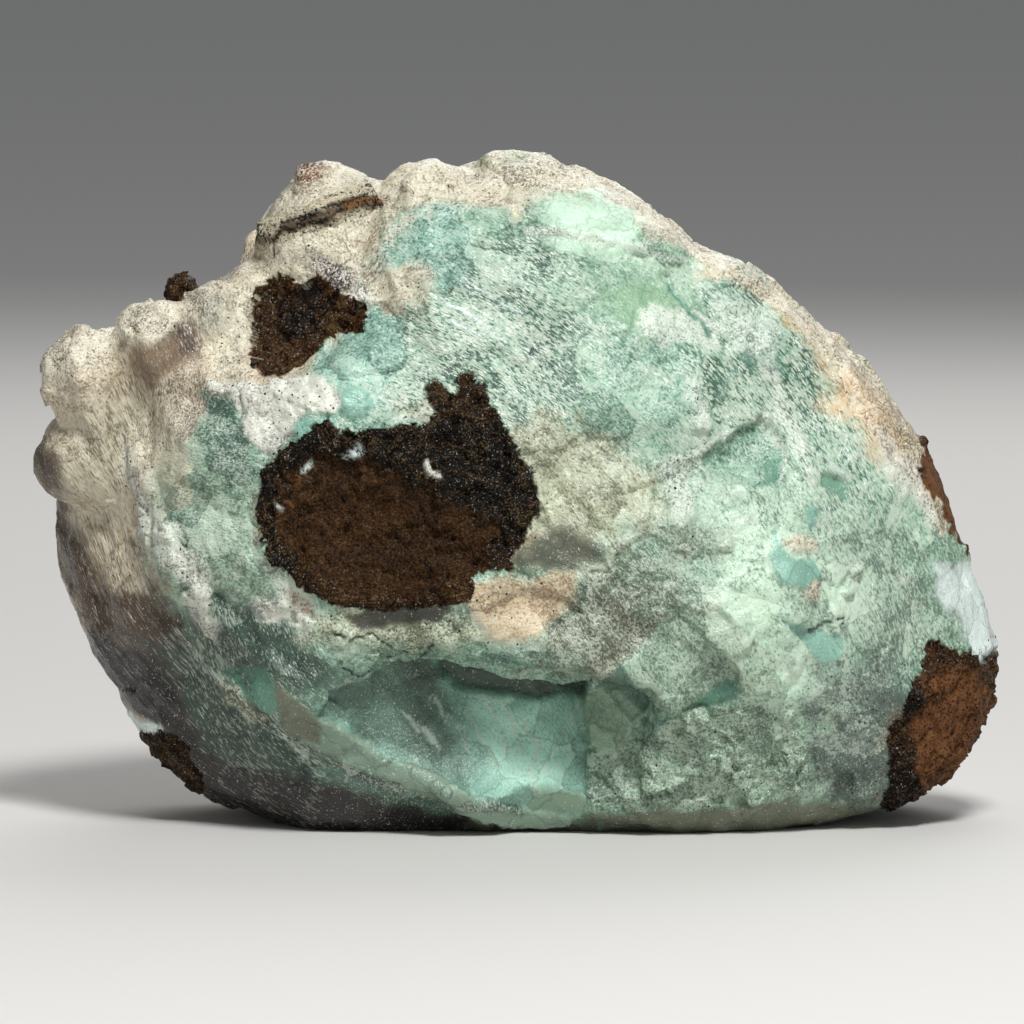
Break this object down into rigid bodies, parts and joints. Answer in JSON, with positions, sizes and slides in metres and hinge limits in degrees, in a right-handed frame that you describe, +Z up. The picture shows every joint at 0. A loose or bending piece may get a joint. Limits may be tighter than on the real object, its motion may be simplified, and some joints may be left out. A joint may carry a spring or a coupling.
{
  "type": "rough apophyllite mineral specimen",
  "caption": "Rough lump of green apophyllite broken across its front, wrapped in a cream stilbite crust that ends in crystal sheaves, with dark basalt locked in both.",
  "frame": {"origin": "centre of the bounding box in X and Y, on the flat that the lump rests on", "axes": "+Z up, +X to the right along the long broken face, -Y out of the broken front face"},
  "size_m": [0.12, 0.0684, 0.0835],
  "materials": {
    "apophyllite": "broken green mineral, pearly and flecked with white",
    "stilbite": "ribbed cream crystal crust, pearly",
    "basalt": "rough dark brown volcanic rock with small pits"
  },
  "bodies": {
    "root": {"apophyllite_mass": "apophyllite", "stilbite_crust": "stilbite", "basalt_inclusion": "basalt", "basalt_upper_inclusion": "basalt", "basalt_corner": "basalt", "basalt_rim_slab": "basalt", "basalt_foot_chip": "basalt", "basalt_back_patch": "basalt", "basalt_bead": "basalt", "basalt_seam": "basalt"}
  },
  "joints": []
}
